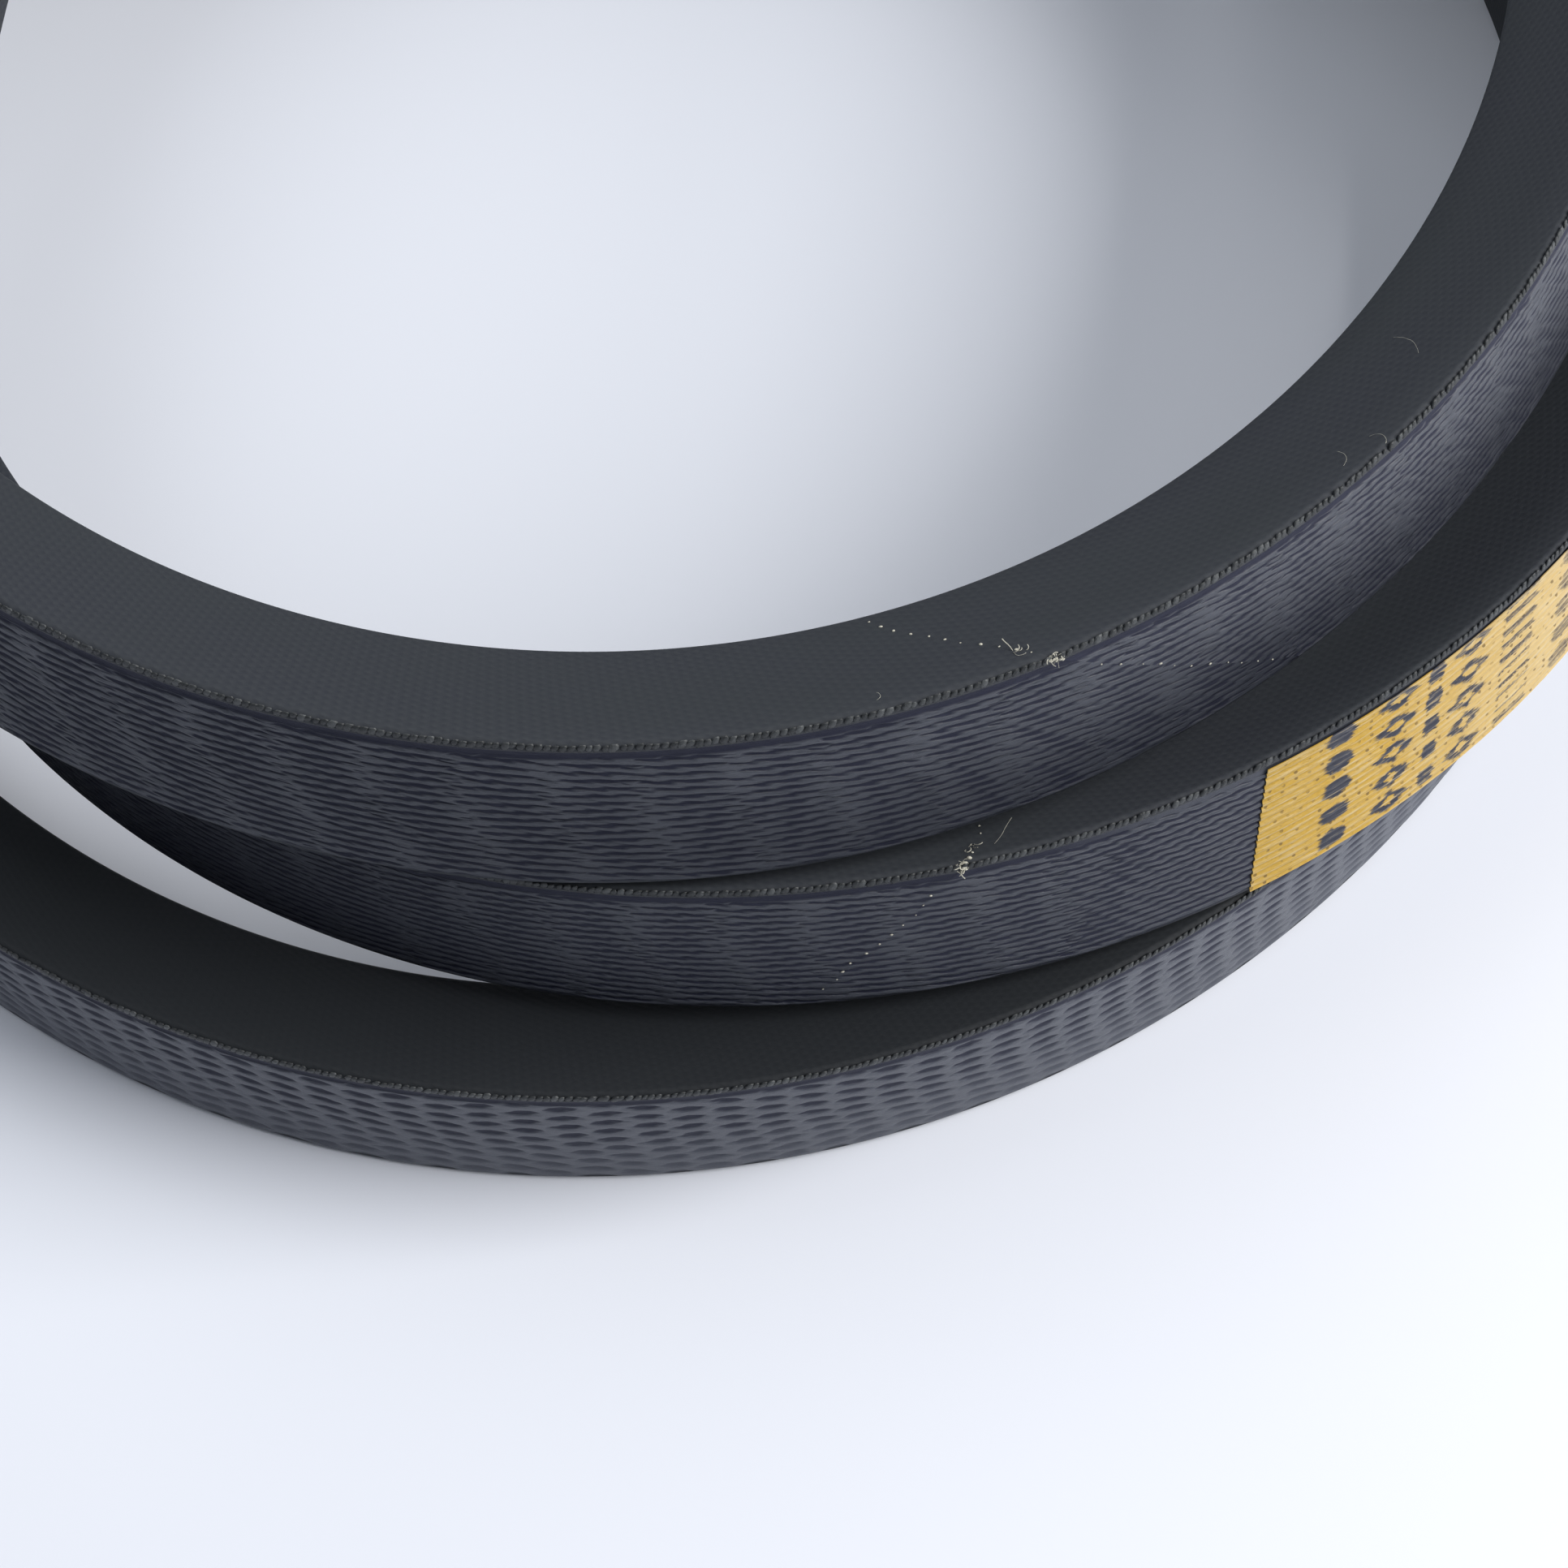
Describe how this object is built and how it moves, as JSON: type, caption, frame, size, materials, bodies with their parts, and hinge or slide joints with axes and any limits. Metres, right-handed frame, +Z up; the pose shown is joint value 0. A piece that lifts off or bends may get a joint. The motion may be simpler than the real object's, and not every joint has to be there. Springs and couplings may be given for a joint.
{
  "type": "wrapped classical v-belt",
  "caption": "Endless fabric-wrapped V-belt of trapezoid section, stored in a three-loop coil, with a printed band on its back.",
  "frame": {"origin": "centre of the coil on the surface it rests on", "axes": "+Z up along the axis of the coil; -Y is the side where the middle loop passes between the top and bottom loops"},
  "size_m": [0.1926, 0.2021, 0.0511],
  "materials": {
    "outer_cover": "matt rubberised fabric with the ribbed print of the curing tape",
    "inner_cover": "matt rubberised fabric",
    "tension_rubber": "matt",
    "cord_gum": "matt",
    "tensile_cord": "twisted polyester cord, dipped",
    "compression_rubber": "matt",
    "label": "matt printed film cured into the cover"
  },
  "bodies": {
    "root": {"outer_cover_length_1": "outer_cover", "outer_cover_length_2": "outer_cover", "outer_cover_length_3": "outer_cover", "inner_cover_length_1": "inner_cover", "inner_cover_length_2": "inner_cover", "inner_cover_length_3": "inner_cover", "tension_rubber": "tension_rubber", "upper_cord_gum": "cord_gum", "tensile_cord_01": "tensile_cord", "tensile_cord_02": "tensile_cord", "tensile_cord_03": "tensile_cord", "tensile_cord_04": "tensile_cord", "tensile_cord_05": "tensile_cord", "tensile_cord_06": "tensile_cord", "tensile_cord_07": "tensile_cord", "tensile_cord_08": "tensile_cord", "tensile_cord_09": "tensile_cord", "tensile_cord_10": "tensile_cord", "lower_cord_gum": "cord_gum", "compression_rubber": "compression_rubber", "printed_label": "label"}
  },
  "joints": []
}
